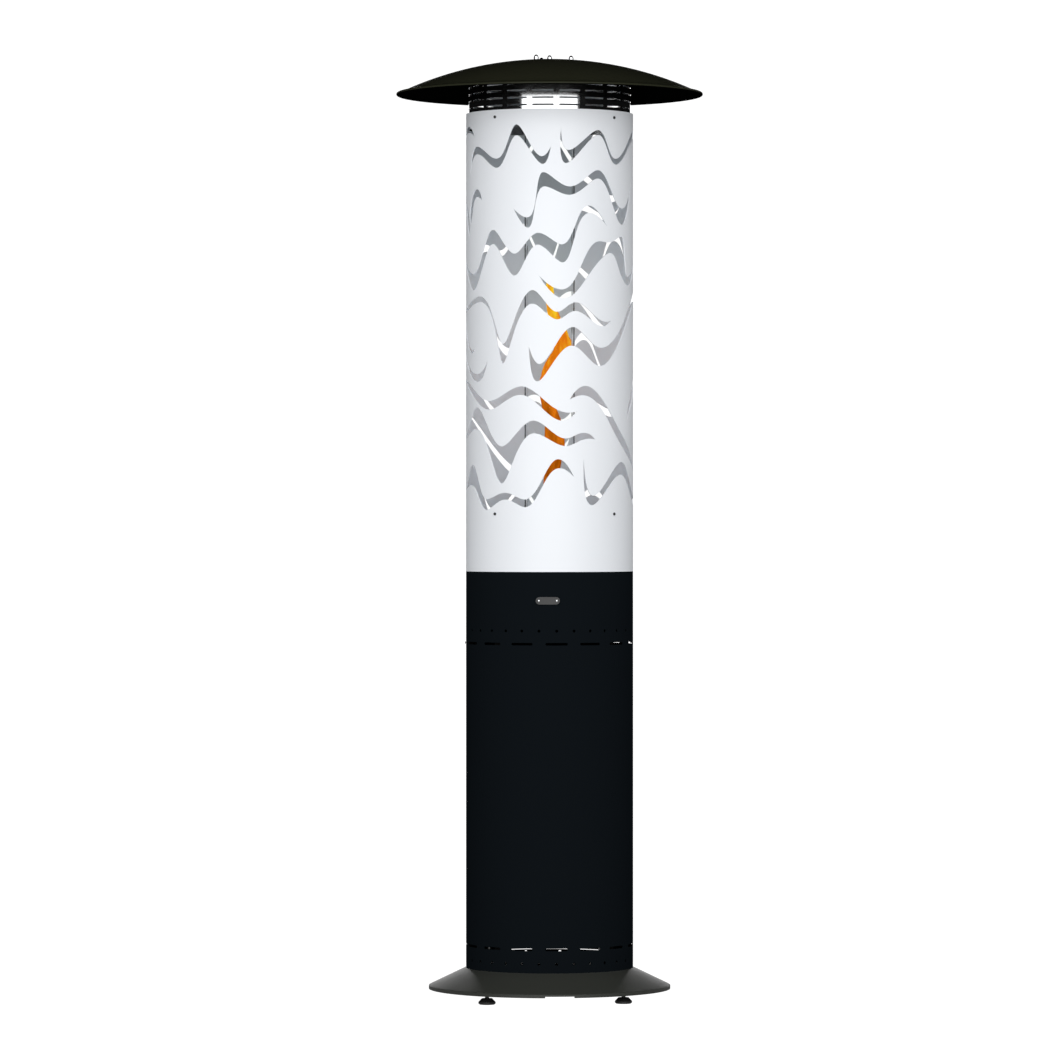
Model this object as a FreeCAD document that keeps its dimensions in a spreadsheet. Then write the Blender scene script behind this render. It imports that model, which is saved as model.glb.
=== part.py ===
import FreeCAD, Part
import math
import os
import Sketcher
from FreeCAD import Placement, Rotation, Vector

# Gas patio heater: a bottle housing on a skirted base, a laser-cut shell round a glass
# flame tube, a slotted collar and a domed hood. Lengths are mm, Z is up, the front is -Y.
# Places round the upright axis are given by an angle from the front towards +X.

doc = FreeCAD.newDocument("PatioHeater")
sheet = doc.addObject("Spreadsheet::Sheet", "Sizes")
named = []
nodes = []


def number(value):
    return value.value if isinstance(value, Size) else float(value)


def formula(value):
    return value.text if isinstance(value, Size) else repr(float(value))


class Size:
    """A length together with the sheet formula that gives it."""

    def __init__(self, value, text):
        self.value = value
        self.text = text

    def __add__(self, other):
        return Size(self.value + number(other), f"({self.text} + {formula(other)})")

    def __sub__(self, other):
        return Size(self.value - number(other), f"({self.text} - {formula(other)})")

    def __rsub__(self, other):
        return Size(number(other) - self.value, f"({formula(other)} - {self.text})")

    def __mul__(self, other):
        return Size(self.value * number(other), f"({self.text} * {formula(other)})")


def size(name, value):
    row = len(named) + 1
    named.append(name)
    sheet.set(f"A{row}", name)
    sheet.set(f"B{row}", str(value))
    sheet.setAlias(f"B{row}", name)
    return Size(float(value), f"Sizes.{name}")


body_radius = size("body_radius", 200)
sheet_gauge = size("sheet_gauge", 1.5)
shell_gauge = size("shell_gauge", 2.5)
lip_radius = size("lip_radius", 289)
lip_bottom = size("lip_bottom", 24)
lip_top = size("lip_top", 32)
plate_bottom = size("plate_bottom", 30)
plate_top = size("plate_top", 33)
foot_circle = size("foot_circle", 229)
sleeve_bottom = size("sleeve_bottom", 75)
sleeve_top = size("sleeve_top", 1022)
shelf_top = size("shelf_top", 80)
door_bottom = size("door_bottom", 104)
door_top = size("door_top", 837)
door_angle = size("door_angle", 143)
deck_bottom = size("deck_bottom", 998)
deck_top = size("deck_top", 1000)
pan_bottom = size("pan_bottom", 1146)
pan_top = size("pan_top", 1148)
glass_radius = size("glass_radius", 60)
glass_gauge = size("glass_gauge", 4.5)
glass_bottom = size("glass_bottom", 1158)
glass_top = size("glass_top", 2110)
shell_top = size("shell_top", 2115.5)
collar_radius = size("collar_radius", 194)
collar_bottom = size("collar_bottom", 2078)
collar_top = size("collar_top", 2206)
bridge_top = size("bridge_top", 2209)
hood_radius = size("hood_radius", 367)
hood_rim = size("hood_rim", 2160)
hood_rise = size("hood_rise", 84.4)
hood_sphere = size("hood_sphere", 842)
nut_circle = size("nut_circle", 52)
stud_radius = size("stud_radius", 5)
panel_face = size("panel_face", 186)
control_level = size("control_level", 940)
knob_side = size("knob_side", -30)
igniter_side = size("igniter_side", 30)
hinge_radius = size("hinge_radius", 204.6)
doc.recompute()


def polar(radius, angle):
    """The spot at this angle from the front, on a circle round the upright axis."""
    turn = math.radians(angle)
    return number(radius) * math.sin(turn), -number(radius) * math.cos(turn)


def facing(angle):
    """A turn that points a piece's own Z axis straight out at this angle."""
    x, y = polar(1, angle)
    return Rotation(Vector(0, 0, 1), Vector(x, y, 0))


def bind(thing, prop, value):
    if isinstance(value, Size):
        thing.setExpression(prop, value.text)
    else:
        setattr(thing, prop, value)


def place(thing, x, y, z, turn=None):
    spot = Vector(number(x), number(y), number(z))
    thing.Placement = Placement(spot, turn or Rotation())
    for axis, value in zip("xyz", (x, y, z)):
        if isinstance(value, Size):
            thing.setExpression(f"Placement.Base.{axis}", value.text)


def primitive(kind, name, x=0, y=0, z=0, turn=None, **sizes):
    made = doc.addObject(f"Part::{kind}", name)
    for prop, value in sizes.items():
        bind(made, prop, value)
    place(made, x, y, z, turn)
    return made


def rod(name, radius, height, x=0, y=0, z=0, turn=None):
    return primitive("Cylinder", name, x, y, z, turn, Radius=radius, Height=height)


def block(name, length, width, height, x=0, y=0, z=0, turn=None):
    return primitive("Box", name, x, y, z, turn, Length=length, Width=width, Height=height)


def cut(name, base, tool):
    made = doc.addObject("Part::Cut", name)
    made.Base = base
    made.Tool = tool
    return made


def fuse(name, *pieces):
    made = doc.addObject("Part::MultiFuse", name)
    made.Shapes = list(pieces)
    return made


def group(name, pieces):
    made = doc.addObject("Part::Compound", name)
    made.Links = pieces
    return made


def node(made, label=None):
    """Marks a finished piece; its label is the name of its STEP file."""
    made.Label = label or made.Name
    nodes.append(made)
    return made


def body(name):
    made = doc.addObject("PartDesign::Body", name)
    made.AllowCompound = True
    return made


def sketch_on(made, name, role, level=None):
    sketch = made.newObject("Sketcher::SketchObject", name)
    plane = next(f for f in made.Origin.OriginFeatures if f.Role == role)
    sketch.AttachmentSupport = [(plane, "")]
    sketch.MapMode = "FlatFace"
    if level is not None:
        sketch.AttachmentOffset = Placement(Vector(0, 0, number(level)), Rotation())
        if isinstance(level, Size):
            sketch.setExpression("AttachmentOffset.Base.z", level.text)
    return sketch


def hold(sketch, kind, *parts):
    """Adds a dimension; the last part is its size, bound to the sheet if it comes from there."""
    value = parts[-1]
    count = sketch.addConstraint(Sketcher.Constraint(kind, *parts[:-1], number(value)))
    if isinstance(value, Size):
        sketch.setExpression(f"Constraints[{count}]", value.text)


def pin_point(sketch, item, end, x, y):
    for kind, axis, value in (("DistanceX", -2, x), ("DistanceY", -1, y)):
        if number(value) == 0:
            sketch.addConstraint(Sketcher.Constraint("PointOnObject", item, end, axis))
        else:
            hold(sketch, kind, -1, 1, item, end, value)


def outline(sketch, corners, bulges=None):
    """A closed outline; a side named in bulges is an arc through a point, with its radius."""
    bulges = bulges or {}
    spots = [Vector(number(x), number(y), 0) for x, y in corners]
    count = len(spots)
    starts = []
    for i, spot in enumerate(spots):
        follow = spots[(i + 1) % count]
        if i in bulges:
            middle = Vector(bulges[i][0][0], bulges[i][0][1], 0)
            sketch.addGeometry(Part.Arc(spot, middle, follow), False)
        else:
            sketch.addGeometry(Part.LineSegment(spot, follow), False)
        starts.append(1 if sketch.getPoint(i, 1).distanceToPoint(spot) < 1e-6 else 2)
    for i in range(count):
        follow = (i + 1) % count
        sketch.addConstraint(Sketcher.Constraint("Coincident", i, 3 - starts[i], follow, starts[follow]))
        pin_point(sketch, i, starts[i], *corners[i])
        if i in bulges:
            hold(sketch, "Radius", i, bulges[i][1])


def turned(name, corners, x=0, y=0, z=0, turn=None, bulges=None):
    """A round piece: an outline of (radius, height) corners spun about its own Z axis."""
    made = body(name)
    sketch = sketch_on(made, f"{name}_profile", "XZ_Plane")
    outline(sketch, corners, bulges)
    spin = made.newObject("PartDesign::Revolution", f"{name}_spin")
    spin.Profile = (sketch, [""])
    spin.ReferenceAxis = (sketch, ["V_Axis"])
    spin.Angle = 360
    place(made, x, y, z, turn)
    return made


def ring(name, outer, inner, bottom, top):
    """A plain tube or washer: two circles padded upwards."""
    made = body(name)
    sketch = sketch_on(made, f"{name}_circles", "XY_Plane", bottom)
    for i, radius in enumerate((outer, inner)):
        if number(radius) > 0:
            sketch.addGeometry(Part.Circle(Vector(), Vector(0, 0, 1), number(radius)), False)
            sketch.addConstraint(Sketcher.Constraint("Coincident", i, 3, -1, 1))
            hold(sketch, "Radius", i, radius)
    pad = made.newObject("PartDesign::Pad", f"{name}_pad")
    pad.Profile = (sketch, [""])
    bind(pad, "Length", top - bottom)
    return made


def slot_in(sketch, item, level, width, height):
    """One round-ended slot about the sketch's upright axis."""
    radius = height / 2
    reach = width / 2 - radius
    up, down = level + radius, level - radius
    east = Part.Circle(Vector(reach, level, 0), Vector(0, 0, 1), radius)
    west = Part.Circle(Vector(-reach, level, 0), Vector(0, 0, 1), radius)
    half = math.pi / 2
    sketch.addGeometry(Part.ArcOfCircle(east, -half, half), False)
    sketch.addGeometry(Part.LineSegment(Vector(reach, up, 0), Vector(-reach, up, 0)), False)
    sketch.addGeometry(Part.ArcOfCircle(west, half, 3 * half), False)
    sketch.addGeometry(Part.LineSegment(Vector(-reach, down, 0), Vector(reach, down, 0)), False)
    for first in range(4):
        follow = (first + 1) % 4
        sketch.addConstraint(Sketcher.Constraint("Tangent", item + first, 2, item + follow, 1))
    sketch.addConstraint(Sketcher.Constraint("Equal", item, item + 2))
    hold(sketch, "Radius", item, radius)
    pin_point(sketch, item, 3, reach, level)
    pin_point(sketch, item + 2, 3, -reach, level)


def pierce(made, name, sketch, count, depth):
    """Cuts the sketch through the front wall and repeats it all round."""
    pocket = made.newObject("PartDesign::Pocket", f"{name}_pocket")
    pocket.Profile = (sketch, [""])
    pocket.Length = depth
    pocket.Reversed = True
    pattern = made.newObject("PartDesign::PolarPattern", f"{name}_pattern")
    pattern.Originals = [pocket]
    axis = next(f for f in made.Origin.OriginFeatures if f.Role == "Z_Axis")
    pattern.Axis = (axis, [""])
    pattern.Angle = 360
    pattern.Occurrences = count
    made.Tip = pattern
    return pattern


def repeated(name, corners, spots):
    """Fasteners of one kind: the same turned outline at each (x, y, z, turn)."""
    profile = doc.addObject("Part::Polygon", f"{name}_profile")
    profile.Nodes = [Vector(r, 0, z) for r, z in corners]
    profile.Close = True
    copies = []
    for i, (x, y, z, turn) in enumerate(spots):
        one = doc.addObject("Part::Revolution", f"{name}_{i + 1}")
        one.Source = profile
        one.Axis = Vector(0, 0, 1)
        one.Angle = 360
        one.Solid = True
        place(one, x, y, z, turn)
        copies.append(one)
    return node(group(name, copies))


corner_angles = (45, 135, 225, 315)

# Base: four levelling feet, plate, skirt, and a raised shelf for the bottle.
foot_profile = [
    (0, 0), (17.5, 0), (20.5, 2.5), (20.5, 6), (12.5, 14.5),
    (stud_radius, 14.5), (stud_radius, 49), (4, 50), (0, 50),
]
foot_names = ("foot_front_right", "foot_rear_right", "foot_rear_left", "foot_front_left")
for foot_name, angle in zip(foot_names, corner_angles):
    foot_x, foot_y = polar(foot_circle, angle)
    node(turned(foot_name, foot_profile, foot_x, foot_y, 0))

nut_blanks = []
for i, angle in enumerate(corner_angles):
    foot_x, foot_y = polar(foot_circle, angle)
    blank = primitive(
        "Prism", f"weld_nut_{i}", foot_x, foot_y, plate_top,
        Polygon=6, Circumradius=9.8, Height=8,
    )
    bore = rod(f"weld_nut_bore_{i}", stud_radius + 0.06, 20, foot_x, foot_y, plate_bottom)
    nut_blanks.append(cut(f"weld_nut_bored_{i}", blank, bore))
node(group("foot_weld_nuts", nut_blanks))

plate = ring("plate_blank", lip_radius - 4.8, 40, plate_bottom, plate_top)
stud_holes = [
    rod(f"stud_hole_{i}", 6, 10, *polar(foot_circle, angle), plate_bottom - 3)
    for i, angle in enumerate(corner_angles)
]
vents = [
    rod(f"plate_vent_{i}", 14, 10, *polar(120, 30 + 60 * i), plate_bottom - 3) for i in range(6)
]
node(cut("base_plate", plate, group("plate_holes", stud_holes + vents)))

skirt_blank = turned("skirt_blank", [
    (lip_radius, lip_bottom), (lip_radius, lip_top), (lip_radius - 3.5, lip_top + 2),
    (body_radius, sleeve_bottom), (body_radius - 2, sleeve_bottom), (body_radius - 2, 88),
    (body_radius - 3.5, 88), (body_radius - 3.5, sleeve_bottom - 1),
    (body_radius - 1, sleeve_bottom - 1.6), (lip_radius - 4.6, lip_top + 1.0),
    (lip_radius - 1.5, lip_top - 1.2), (lip_radius - 1.5, lip_bottom),
])
notch = block("skirt_notch", 69, 30, 5.5, -34.5, lip_radius * -1 - 10, lip_bottom - 2)
node(cut("base_skirt", skirt_blank, notch))

node(ring("shelf_ring", 176, 174, plate_top, shelf_top - 2))
shelf = ring("shelf_blank", 192, 30, shelf_top - 2, shelf_top)
shelf_vents = [
    rod(f"shelf_vent_{i}", 12, 8, *polar(110, 60 * i), shelf_top - 5) for i in range(6)
]
node(cut("bottle_shelf", shelf, group("shelf_holes", shelf_vents)))

# Bottle housing: one rolled and pierced tube, of which the rear door is a part.
tube = ring("sleeve_blank", body_radius, body_radius - sheet_gauge, sleeve_bottom, sleeve_top)
for row_name, level in (("low", 130.5), ("high", 851.5)):
    row = sketch_on(tube, f"slot_row_{row_name}", "XZ_Plane")
    slot_in(row, 0, level, 53, 6)
    pierce(tube, f"slot_row_{row_name}", row, 15, 260)
holes = sketch_on(tube, "hole_rows", "XZ_Plane")
for i, level in enumerate((96.5, 882.5)):
    spot = Vector(0, level, 0)
    holes.addGeometry(Part.Circle(spot, Vector(0, 0, 1), 3.5), False)
    hold(holes, "Radius", i, 3.5)
    pin_point(holes, i, 3, 0, level)
pierce(tube, "hole_rows", holes, 30, 260)


def wedge(name, angle, bottom, top):
    """A slice of cylinder centred on the rear of the housing."""
    made = primitive(
        "Cylinder", name, 0, 0, bottom, Radius=240, Height=top - bottom, Angle=angle,
    )
    middle = Size(90, "90.0")
    made.setExpression("Placement.Rotation.Angle", (middle - angle * 0.5).text)
    made.Placement.Rotation = Rotation(Vector(0, 0, 1), number(middle - angle * 0.5))
    return made


opening = wedge("door_opening", door_angle + 1, door_bottom - 1.5, door_top + 1.5)
window = block("control_window", 116, 60, 62, -58, 170, control_level - 31)
node(cut("lower_sleeve", tube, group("sleeve_openings", [opening, window])))
door = doc.addObject("Part::Common", "rear_door")
door.Base = tube
door.Tool = wedge("door_slice", door_angle, door_bottom, door_top)
node(door)

screw_head = [(0, -4), (1.6, -4), (1.6, 0), (3.2, 0), (3.0, 1.0), (2.0, 1.8), (0, 2.1)]
sleeve_spots = [(-50.5, 130.5), (31.1, 130.5), (-94, 851.5), (94, 851.5)]
repeated("sleeve_screws", screw_head, [
    (*polar(body_radius, angle), level, facing(angle)) for angle, level in sleeve_spots
])

# Hinges outside the right rear edge, a pull and two magnets at the left rear edge.
hinge_angle = 106.6
hinge_x, hinge_y = polar(hinge_radius, hinge_angle)
frame_leaves = []
door_leaves = []
pin_spots = []
for i, level in enumerate((170, 690)):
    for side, leaves, low, high in ((-1, frame_leaves, 0, 27), (1, door_leaves, 27.6, 54)):
        lift = level + low
        tall = high - low
        knuckle = rod(f"knuckle_{i}{low:.0f}", 4.2, tall, hinge_x, hinge_y, lift)
        blank = rod(f"leaf_outer_{i}{low:.0f}", body_radius + 2.0, tall, 0, 0, lift)
        core = rod(f"leaf_inner_{i}{low:.0f}", body_radius, tall, 0, 0, lift)
        start = 106.6 if side > 0 else 97.4
        slice_angle = Rotation(Vector(0, 0, 1), start - 90 + (1.8 if side > 0 else 0))
        sector = primitive(
            "Cylinder", f"leaf_slice_{i}{low:.0f}", 0, 0, lift - 1, slice_angle,
            Radius=230, Height=tall + 2, Angle=7.4,
        )
        bend = doc.addObject("Part::Common", f"leaf_bend_{i}{low:.0f}")
        bend.Base = cut(f"leaf_band_{i}{low:.0f}", blank, core)
        bend.Tool = sector
        web_turn = Rotation(Vector(0, 0, 1), hinge_angle)
        reach = 9.5 if side > 0 else -9.5
        web_x, web_y = polar(202.4, hinge_angle)
        web = block(
            f"leaf_web_{i}{low:.0f}", abs(reach), 2.0, tall,
            web_x if side > 0 else web_x - 9.5 * math.cos(math.radians(hinge_angle)),
            web_y if side > 0 else web_y - 9.5 * math.sin(math.radians(hinge_angle)),
            lift, web_turn,
        )
        solid = fuse(f"leaf_solid_{i}{low:.0f}", knuckle, bend, web)
        bore = rod(f"knuckle_bore_{i}{low:.0f}", 2.05, tall + 4, hinge_x, hinge_y, lift - 2)
        inside = rod(f"knuckle_trim_{i}{low:.0f}", body_radius + 0.02, tall + 4, 0, 0, lift - 2)
        leaves.append(cut(f"leaf_bored_{i}{low:.0f}", solid, group(f"leaf_cuts_{i}{low:.0f}", [bore, inside])))
    pin_spots.append((hinge_x, hinge_y, level - 1, None))
node(group("hinge_frame_leaves", frame_leaves))
node(group("hinge_door_leaves", door_leaves))
repeated("hinge_pins", [(0, -1.5), (3.2, -1.5), (3.2, 0.8), (2, 0.8), (2, 57), (0, 57)], pin_spots)

pull_turn = facing(226)
pull_x, pull_y = polar(body_radius, 226)
pull_bar = rod("pull_bar", 5, 110, *polar(body_radius + 26, 226), 405)
pull_ends = [
    rod(f"pull_end_{i}", 4, 27, pull_x, pull_y, level, pull_turn) for i, level in enumerate((417, 503))
]
node(fuse("door_pull", pull_bar, *pull_ends))
magnets = []
magnet_turn = math.radians(254.5)
magnet_x, magnet_y = polar(196.5, 254.5)
for i, level in enumerate((150, 760)):
    magnets.append(block(
        f"magnet_{i}", 40, 5.5, 40,
        magnet_x - 17 * math.cos(magnet_turn), magnet_y - 17 * math.sin(magnet_turn), level,
        Rotation(Vector(0, 0, 1), 254.5),
    ))
node(group("door_magnets", magnets))

# Frame posts carry the deck; the bottle passes between the rear pair.
post_names = (
    ("post_front_right", 45), ("post_front_left", -45),
    ("post_rear_right", 97), ("post_rear_left", -97),
)
for post_name, angle in post_names:
    post_x, post_y = polar(182, angle)
    outer = block(f"{post_name}_bar", 18, 18, deck_bottom - shelf_top, -9, -9, 0)
    inner = block(f"{post_name}_bore", 15, 15, deck_bottom - shelf_top + 4, -7.5, -7.5, -2)
    post = cut(post_name, outer, inner)
    place(post, post_x, post_y, shelf_top, Rotation(Vector(0, 0, 1), angle))
    node(post)

deck = ring("deck_blank", body_radius - sheet_gauge, 24, deck_bottom, deck_top)
pipe_angle = 170
deck_cuts = [rod("deck_pipe_hole", 7, 10, *polar(150, pipe_angle), deck_bottom - 4)]
deck_cuts += [rod(f"deck_vent_{i}", 10, 10, *polar(95, 40 + 72 * i), deck_bottom - 4) for i in range(5)]
node(cut("burner_deck", deck, group("deck_holes", deck_cuts)))

# Controls sit in a recessed panel at the rear, above the door.
pan_outer = block("panel_blank", 132, 30, 78, -66, panel_face - 2, control_level - 39)
pan_recess = block("panel_recess", 118, 40, 90, -59, panel_face, control_level - 45)
pan_round = ring("panel_round", body_radius - sheet_gauge, 0, control_level - 60, control_level + 60)
panel = doc.addObject("Part::Common", "panel_bent")
panel.Base = cut("panel_folded", pan_outer, pan_recess)
panel.Tool = pan_round
rear = Rotation(Vector(0, 0, 1), Vector(0, 1, 0))
panel_holes = [
    rod("panel_stem_hole", 6.5, 20, knob_side, panel_face - 10, control_level, rear),
    rod("panel_igniter_hole", 11, 20, igniter_side, panel_face - 10, control_level, rear),
]
node(cut("control_plate", panel, group("panel_holes", panel_holes)))

valve_block = block("valve_block", 36, 34, 44, knob_side - 18, 146, control_level - 22)
valve_neck = rod("valve_neck", 10, 4, knob_side, 180, control_level, rear)
valve_bore = rod("valve_bore", 4.05, 60, knob_side, 160, control_level, rear)
node(cut("gas_valve", fuse("valve_solid", valve_block, valve_neck), valve_bore))
node(turned(
    "valve_stem", [(0, 0), (4, 0), (4, 26.5), (3, 26.5), (3, 36), (0, 36)],
    knob_side, 160.5, control_level, rear,
))
knob_blank = turned(
    "knob_blank", [(0, 4), (19, 4), (22, 6), (20, 20), (18.5, 21), (0, 21)],
    knob_side, panel_face, control_level, rear,
)
knob_bore = rod("knob_bore", 3.05, 14, knob_side, panel_face, control_level, rear)
knob_skirt = rod("knob_counterbore", 4.5, 3, knob_side, panel_face + 2, control_level, rear)
knob_ridge = block("knob_ridge", 7, 10, 36, knob_side - 3.5, panel_face + 20, control_level - 18)
knob_solid = fuse("knob_solid", knob_blank, knob_ridge)
node(cut("control_knob", knob_solid, fuse("knob_hollow", knob_bore, knob_skirt)))

igniter_shell = turned(
    "igniter_shell", [(8.1, -38), (10.9, -38), (10.9, 0), (14, 0), (14, 3), (8.1, 3)],
    igniter_side, panel_face, control_level, rear,
)
igniter_end = rod("igniter_end", 8.2, 3, igniter_side, panel_face - 38, control_level, rear)
node(fuse("igniter_body", igniter_shell, igniter_end))
node(turned(
    "igniter_button", [(0, -24), (8.04, -24), (8.04, 10), (6.5, 12), (0, 12)],
    igniter_side, panel_face, control_level, rear,
))

inlet_x = number(knob_side)
node(turned(
    "gas_inlet_nipple",
    [(0, 0), (7, 0), (7, -9), (4.5, -9), (4.5, -33), (3.5, -34), (0, -34)],
    inlet_x, 163, control_level - 22,
))


def tube_along(name, spots, bend, radius, wall):
    """A pipe through the spots, with every corner rounded to one bend radius."""
    edges = []
    start = spots[0]
    for before, corner, after in zip(spots, spots[1:], spots[2:]):
        into = (corner - before).normalize()
        away = (after - corner).normalize()
        trim = bend * math.tan(into.getAngle(away) / 2)
        first = corner - into * trim
        last = corner + away * trim
        centre = first + (away - into * away.dot(into)).normalize() * bend
        middle = centre + (corner - centre).normalize() * bend
        edges.append(Part.LineSegment(start, first).toShape())
        edges.append(Part.Arc(first, middle, last).toShape())
        start = last
    edges.append(Part.LineSegment(start, spots[-1]).toShape())
    path = Part.Wire(edges)
    along = (spots[1] - spots[0]).normalize()
    outer, inner = (
        path.makePipeShell([Part.Wire(Part.makeCircle(r, spots[0], along))], True, False)
        for r in (radius, radius - wall)
    )
    made = doc.addObject("Part::Feature", name)
    made.Shape = outer.cut(inner)
    return node(made)


pipe_x, pipe_y = polar(150, pipe_angle)
valve_top = number(control_level) + 22
tube_along("gas_pipe", [
    Vector(inlet_x, 163, valve_top), Vector(inlet_x, 163, 985), Vector(pipe_x, pipe_y, 985),
    Vector(pipe_x, pipe_y, 1030), Vector(0, 0, 1030), Vector(0, 0, 1052),
], 5.5, 4, 1)

# Burner, inside the plain lower part of the shell.
drum = ring("drum_blank", 84, 82.5, deck_top, pan_bottom)
drum_hole = rod("drum_pipe_hole", 6, 40, *polar(60, pipe_angle), 1030, facing(pipe_angle))
node(cut("burner_drum", drum, drum_hole))
node(turned("injector", [(0, 1052), (7, 1052), (7, 1066), (3.5, 1072), (0, 1072)]))
node(turned("venturi_tube", [
    (10, 1066), (12, 1066), (12, 1076), (12, 1116), (10, 1116),
]))
head = turned("head_blank", [
    (0, 1116), (30, 1116), (40, 1124), (40, 1150), (32, 1156), (0, 1156),
])
ports = [rod("head_port_0", 3, 30, 0, 0, 1140)]
for circle, count in ((12, 6), (23, 12)):
    ports += [rod(f"head_port_{circle}_{i}", 3, 30, *polar(circle, 360 * i / count), 1140)
              for i in range(count)]
node(cut("burner_head", head, group("head_ports", ports)))
node(block("pilot_bracket", 25, 40.9, 3, -17, 40, 1128))
head_brackets = []
for i, angle in enumerate((60, 300)):
    side = math.radians(angle - 90)
    bracket_x, bracket_y = polar(40, angle)
    head_brackets.append(block(
        f"head_bracket_{i}", 42, 16, 3,
        bracket_x + 8 * math.sin(side), bracket_y - 8 * math.cos(side), 1128,
        Rotation(Vector(0, 0, 1), angle - 90),
    ))
node(group("head_brackets", head_brackets))
repeated("thermocouple", [(0, 0), (2.5, 0), (2.5, 34), (1.5, 38), (0, 38)], [(0, 45, 1131, None)])
electrode_rod = rod("electrode_rod", 1.4, 46, -11, 43.8, 1131)
electrode_insulator = rod("electrode_insulator", 4, 22, -11, 43.8, 1131)
node(fuse("ignition_electrode", electrode_rod, electrode_insulator))
node(block("tilt_switch", 34, 26, 22, 96, -13, deck_top))

pan_profile = [
    (50, pan_bottom), (body_radius - 2.6, pan_bottom), (body_radius - 2.6, 1167),
    (body_radius - 4.2, 1167), (body_radius - 4.2, pan_top), (50, pan_top),
]
node(turned("glass_base_cup", [
    (52, pan_top), (70, pan_top), (70, pan_top + 26), (68, pan_top + 26),
    (68, pan_top + 6), (52, pan_top + 6),
]))
node(ring("glass_base_gasket", 66, 53, pan_top + 6, glass_bottom))
node(ring("glass_tube", glass_radius, glass_radius - glass_gauge, glass_bottom, glass_top))

cup = ring("top_cup", 66, 52, glass_top, glass_top + 4)
arms = []
for i in range(3):
    turn = Rotation(Vector(0, 0, 1), 30 + 120 * i)
    start = turn.multVec(Vector(58, -8, 0))
    arms.append(block(f"top_arm_{i}", 134.4, 16, 3, start.x, start.y, glass_top + 4, turn))
hub = ring("top_hub", 66, 52, glass_top + 4, glass_top + 7)
node(fuse("glass_top_ring", cup, hub, *arms))

# Upper shell: a tube cut through by waves, each two curves that meet in a point at both ends.
# Each wave as the angle, height and depth at its two pointed ends and at every turn of its middle line.
front_waves = [
    [(-105, 2050, 0), (-90, 2068, 16), (-77, 2074, 14), (-68, 2056, 0)],
    [(-76, 1960, 0), (-59, 2018, 18), (-42, 1990, 22), (-28, 2066, 26), (-10, 1994, 18), (-4, 2025, 0)],
    [(3, 2070, 0), (9, 2004, 28), (32, 2060, 12), (44, 1998, 14), (70, 2052, 20), (98, 2005, 0)],
    [(-79, 1815, 0), (-83, 1870, 44), (-89, 1900, 14), (-98, 1915, 0)],
    [(-74, 1847, 0), (-71, 1898, 38), (-66, 1920, 20), (-58, 1902, 0)],
    [(-30, 1880, 0), (-18, 1850, 24), (-9, 1948, 34), (8, 1922, 20), (30, 1962, 20), (48, 1880, 34),
     (72, 1957, 0)],
    [(-98, 1766, 0), (-82, 1738, 24), (-69, 1710, 38), (-46, 1814, 34), (-29, 1748, 52), (-13, 1808, 28),
     (3, 1774, 42), (18, 1868, 18), (38, 1840, 0)],
    [(-12, 1721, 0), (9, 1684, 26), (31, 1780, 48), (42, 1790, 26), (54, 1770, 96), (63, 1714, 22),
     (78, 1744, 16), (94, 1772, 0)],
    [(-100, 1640, 0), (-78, 1653, 12), (-55, 1663, 12), (-38, 1538, 46), (-15, 1670, 32), (1, 1627, 18),
     (11, 1647, 20), (32, 1611, 14), (42, 1617, 0)],
    [(-98, 1618, 0), (-84, 1580, 24), (-71, 1545, 8), (-67, 1552, 0)],
    [(-106, 1568, 0), (-84, 1520, 14), (-63, 1482, 18), (-52, 1524, 0)],
    [(-19, 1554, 0), (-11, 1494, 38), (11, 1578, 44), (29, 1533, 44), (53, 1588, 26), (80, 1676, 28),
     (102, 1655, 0)],
    [(-97, 1474, 0), (-76, 1460, 18), (-48, 1417, 20), (-24, 1450, 20), (3, 1390, 22), (14, 1401, 0)],
    [(-94, 1340, 0), (-80, 1355, 20), (-64, 1386, 52), (-39, 1275, 88), (-16, 1364, 30), (7, 1328, 18),
     (16, 1340, 18), (28, 1335, 0)],
    [(9, 1429, 0), (19, 1450, 22), (46, 1364, 30), (68, 1297, 24), (90, 1250, 0)],
    [(61, 1380, 0), (68, 1420, 30), (82, 1466, 34), (102, 1500, 0)],
    [(-94, 1212, 0), (-82, 1234, 24), (-70, 1250, 50), (-54, 1182, 26), (-36, 1201, 16), (-22, 1184, 18),
     (-1, 1275, 22), (12, 1246, 0)],
    [(19, 1291, 0), (29, 1195, 20), (53, 1267, 30), (76, 1199, 28), (92, 1196, 0)],
]
back_waves = [
    [(236, 1990, 0), (208, 1960, 16), (172, 2080, 18), (157, 2010, 18), (138, 2100, 18), (108, 2040, 0)],
    [(172, 1985, 0), (150, 1976, 18), (133, 1930, 18), (105, 1985, 0)],
    [(234, 1745, 0), (222, 1800, 16), (212, 1790, 16), (196, 1858, 16), (178, 1760, 18), (155, 1905, 18),
     (137, 1880, 14), (114, 1915, 0)],
    [(167, 1740, 0), (158, 1762, 14), (145, 1728, 20), (130, 1815, 26), (107, 1750, 0)],
    [(226, 1684, 0), (194, 1566, 18), (158, 1690, 18), (134, 1605, 20), (116, 1630, 0)],
    [(167, 1505, 0), (146, 1580, 20), (131, 1486, 20), (116, 1500, 0)],
    [(254, 1500, 0), (231, 1450, 14), (208, 1400, 16), (184, 1440, 16), (167, 1380, 18), (150, 1430, 16),
     (132, 1407, 18), (114, 1450, 0)],
    [(258, 1395, 0), (228, 1348, 16), (197, 1258, 22), (186, 1375, 0)],
    [(179, 1305, 0), (170, 1308, 14), (161, 1345, 0)],
    [(232, 1245, 0), (208, 1178, 16), (195, 1220, 14), (180, 1158, 16), (160, 1172, 14), (143, 1214, 18),
     (131, 1184, 14), (112, 1280, 0)],
]


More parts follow.
